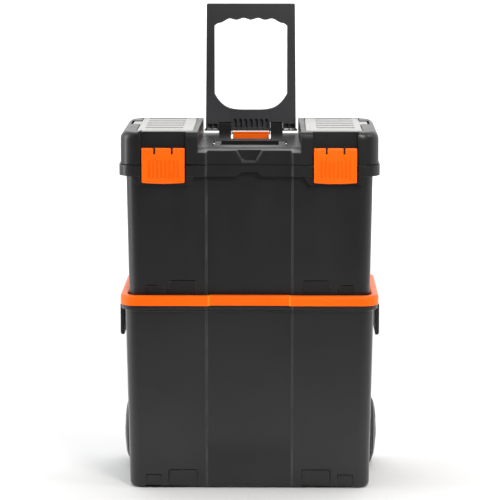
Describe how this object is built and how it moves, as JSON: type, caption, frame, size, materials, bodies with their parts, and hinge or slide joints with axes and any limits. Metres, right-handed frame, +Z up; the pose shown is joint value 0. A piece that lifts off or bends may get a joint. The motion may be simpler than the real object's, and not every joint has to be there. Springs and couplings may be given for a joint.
{
  "type": "rolling tool box",
  "caption": "Wheeled two-piece tool box: a deep bin with a bright rim, a lift-off box with a latched lid and clear organisers, and a fold-down tow handle.",
  "frame": {"origin": "centre of the footprint, on the ground the wheels and the bin stand on", "axes": "+Z up, the latches and the front panel face -Y, +X to the right seen from the front"},
  "size_m": [0.456, 0.272, 0.8324],
  "materials": {
    "black_plastic": "fine spark-textured black polypropylene with a soft sheen",
    "orange_plastic": "satin orange polypropylene",
    "clear_plastic": "clear, slightly frosted polypropylene",
    "tyre_rubber": "matt black rubber tread",
    "bright_steel": "bright zinc-plated drawn steel",
    "grey_plastic": "plain dark grey moulded plastic"
  },
  "bodies": {
    "bin": {"lower_bin": "black_plastic", "orange_rim": "orange_plastic", "side_grip_left": "black_plastic", "side_grip_right": "black_plastic", "axle": "bright_steel", "axle_spacer_left": "grey_plastic", "axle_spacer_right": "grey_plastic"},
    "wheel_left": {"wheel_tyre_left": "tyre_rubber", "wheel_hub_left": "grey_plastic", "wheel_cover_left": "black_plastic"},
    "wheel_right": {"wheel_tyre_right": "tyre_rubber", "wheel_hub_right": "grey_plastic", "wheel_cover_right": "black_plastic"},
    "tool_box": {"upper_body": "black_plastic", "tool_tray": "grey_plastic", "lid_hinge_pin_left": "bright_steel", "lid_hinge_pin_right": "bright_steel"},
    "lid": {"lid": "black_plastic", "latch_pin_left": "bright_steel", "latch_pin_right": "bright_steel", "tow_handle_rod": "bright_steel", "carry_handle_pin_left": "bright_steel", "carry_handle_pin_right": "bright_steel", "divider_left_1": "grey_plastic", "divider_left_2": "grey_plastic", "divider_left_3": "grey_plastic", "divider_left_4": "grey_plastic", "divider_right_1": "grey_plastic", "divider_right_2": "grey_plastic", "divider_right_3": "grey_plastic", "divider_right_4": "grey_plastic"},
    "latch_left": {"latch_left": "orange_plastic"},
    "latch_right": {"latch_right": "orange_plastic"},
    "cover_left": {"organiser_cover_left": "clear_plastic"},
    "cover_right": {"organiser_cover_right": "clear_plastic"},
    "tow_handle": {"tow_handle": "black_plastic"},
    "release_paddle": {"release_paddle": "orange_plastic"},
    "carry_handle": {"carry_handle": "black_plastic"}
  },
  "joints": [
    {"name": "wheel_left_spin", "type": "hinge", "parent": "bin", "child": "wheel_left", "pos_m": [-0.2, 0.071, 0.065], "axis": [1, 0, 0], "continuous": true},
    {"name": "wheel_right_spin", "type": "hinge", "parent": "bin", "child": "wheel_right", "pos_m": [0.2, 0.071, 0.065], "axis": [1, 0, 0], "continuous": true},
    {"name": "tool_box_lift", "type": "slide", "parent": "bin", "child": "tool_box", "axis": [0, 0, 1], "range_m": [0, 0.08]},
    {"name": "lid_hinge", "type": "hinge", "parent": "tool_box", "child": "lid", "pos_m": [0, 0.1317, 0.5695], "axis": [-1, 0, 0], "range_deg": [0, 100]},
    {"name": "latch_left_hinge", "type": "hinge", "parent": "lid", "child": "latch_left", "pos_m": [-0.147, -0.1318, 0.5945], "axis": [-1, 0, 0], "range_deg": [0, 110]},
    {"name": "latch_right_hinge", "type": "hinge", "parent": "lid", "child": "latch_right", "pos_m": [0.147, -0.1318, 0.5945], "axis": [-1, 0, 0], "range_deg": [0, 110]},
    {"name": "cover_left_hinge", "type": "hinge", "parent": "lid", "child": "cover_left", "pos_m": [-0.0985, 0, 0.6235], "axis": [0, 1, 0], "range_deg": [0, 95]},
    {"name": "cover_right_hinge", "type": "hinge", "parent": "lid", "child": "cover_right", "pos_m": [0.0985, 0, 0.6235], "axis": [0, -1, 0], "range_deg": [0, 95]},
    {"name": "tow_handle_fold", "type": "hinge", "parent": "lid", "child": "tow_handle", "pos_m": [0, 0.112, 0.606], "axis": [1, 0, 0], "range_deg": [0, 90]},
    {"name": "release_paddle_press", "type": "hinge", "parent": "tow_handle", "child": "release_paddle", "pos_m": [0, 0.112, 0.5992], "axis": [1, 0, 0], "range_deg": [0, 15], "stiffness_Nm_per_rad": 0.05},
    {"name": "carry_handle_lift", "type": "hinge", "parent": "lid", "child": "carry_handle", "pos_m": [0, -0.02, 0.5925], "axis": [-1, 0, 0], "range_deg": [0, 95]}
  ]
}
